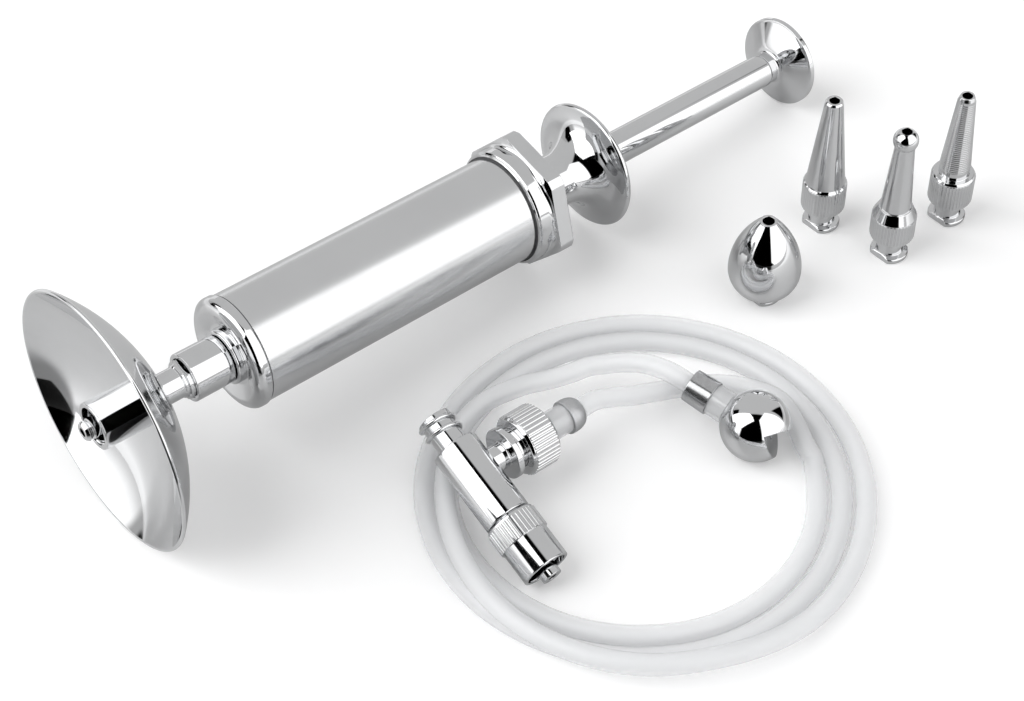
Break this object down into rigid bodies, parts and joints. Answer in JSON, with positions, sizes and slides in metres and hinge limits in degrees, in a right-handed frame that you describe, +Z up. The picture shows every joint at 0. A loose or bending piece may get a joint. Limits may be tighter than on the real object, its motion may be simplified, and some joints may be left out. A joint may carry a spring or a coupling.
{
  "type": "ear syringe set",
  "caption": "Metal ear syringe with splash shield and finger grip, with spare ear tips, a refill check valve and clear tubing with a weighted ball.",
  "frame": {"origin": "on the table, under the middle of the box round the metal pieces of the set (the tubing and its weight left out)", "axes": "+X from the splash shield towards the thumb disc in plan, +Z up, +Y away from the loose pieces"},
  "size_m": [0.1818, 0.1321, 0.0528],
  "materials": {
    "chromed_metal": "mirror-polished chrome plate",
    "satin_barrel": "lightly brushed chrome plate",
    "plain_metal": "turned metal",
    "check_balls": "polished steel",
    "black_rubber": "smooth black rubber",
    "clear_tubing": "clear soft plastic tubing"
  },
  "bodies": {
    "barrel_unit": {"barrel_tube": "satin_barrel", "nose_cap": "chromed_metal", "nozzle_hub": "chromed_metal", "nozzle_washer": "plain_metal", "nose_gasket": "black_rubber", "cap_gasket": "black_rubber", "rear_cap": "chromed_metal", "gland_packing": "black_rubber", "finger_grip": "chromed_metal"},
    "nozzle_collar_body": {"nozzle_collar": "chromed_metal"},
    "shield": {"shield_dish": "chromed_metal", "shield_hub": "chromed_metal", "shield_nozzle": "chromed_metal"},
    "plunger_seals": {"piston_oring_front": "black_rubber", "piston_oring_rear": "black_rubber"},
    "plunger": {"plunger_rod": "chromed_metal", "thumb_disc": "chromed_metal", "piston_body": "plain_metal", "piston_nut": "plain_metal"},
    "plain_tip": {"tip_plain": "chromed_metal"},
    "ball_tip": {"tip_ball": "chromed_metal"},
    "ridged_tip": {"tip_ridged": "chromed_metal"},
    "olive_tip": {"tip_olive": "chromed_metal"},
    "refill_line": {"valve_body": "chromed_metal", "outlet_luer": "chromed_metal", "port_seal": "black_rubber", "hose_barb": "plain_metal", "tube_lead": "clear_tubing", "tube_coil": "clear_tubing", "tube_tail": "clear_tubing", "weight_barb": "plain_metal", "weight_ball": "chromed_metal"},
    "valve_collar_body": {"valve_collar": "chromed_metal"},
    "union_nut_body": {"union_nut": "chromed_metal"},
    "outlet_ball_body": {"outlet_ball": "check_balls"},
    "suction_ball_body": {"suction_ball": "check_balls"}
  },
  "joints": [
    {"name": "nozzle_collar_turn", "type": "hinge", "parent": "barrel_unit", "child": "nozzle_collar_body", "pos_m": [-0.06577, 0.02071, 0.02433], "axis": [0.9956, 0, -0.0937], "continuous": true},
    {"name": "shield_unscrew", "type": "slide", "parent": "barrel_unit", "child": "shield", "axis": [-0.9956, 0, 0.0937], "range_m": [0, 0.005]},
    {"name": "plunger_slide", "type": "slide", "parent": "barrel_unit", "child": "plunger_seals", "axis": [0.9956, 0, -0.0937], "range_m": [-0.0465, 0.0014]},
    {"name": "plunger_turn", "type": "hinge", "parent": "plunger_seals", "child": "plunger", "pos_m": [0.01189, 0.02071, 0.01702], "axis": [0.9956, 0, -0.0937], "continuous": true},
    {"name": "plain_tip_lift", "type": "slide", "parent": "barrel_unit", "child": "plain_tip", "axis": [0, 0, 1], "range_m": [0, 0.06]},
    {"name": "ball_tip_lift", "type": "slide", "parent": "barrel_unit", "child": "ball_tip", "axis": [0, 0, 1], "range_m": [0, 0.06]},
    {"name": "ridged_tip_lift", "type": "slide", "parent": "barrel_unit", "child": "ridged_tip", "axis": [0, 0, 1], "range_m": [0, 0.06]},
    {"name": "olive_tip_lift", "type": "slide", "parent": "barrel_unit", "child": "olive_tip", "axis": [0, 0, 1], "range_m": [0, 0.06]},
    {"name": "refill_line_lift", "type": "slide", "parent": "barrel_unit", "child": "refill_line", "axis": [0, 0, 1], "range_m": [0, 0.06]},
    {"name": "valve_collar_turn", "type": "hinge", "parent": "refill_line", "child": "valve_collar_body", "pos_m": [-0.03836, -0.03739, 0.00688], "axis": [0.0465, 0.9499, 0.309], "continuous": true},
    {"name": "union_nut_turn", "type": "hinge", "parent": "refill_line", "child": "union_nut_body", "pos_m": [-0.02472, -0.02359, 0.01031], "axis": [0.9959, -0.0201, -0.0879], "range_deg": [0, 360]},
    {"name": "outlet_ball_open", "type": "slide", "parent": "refill_line", "child": "outlet_ball_body", "axis": [-0.0465, -0.9499, -0.309], "range_m": [0, 0.0012]},
    {"name": "suction_ball_open", "type": "slide", "parent": "refill_line", "child": "suction_ball_body", "axis": [-0.9959, 0.0201, 0.0879], "range_m": [0, 0.0012]}
  ]
}
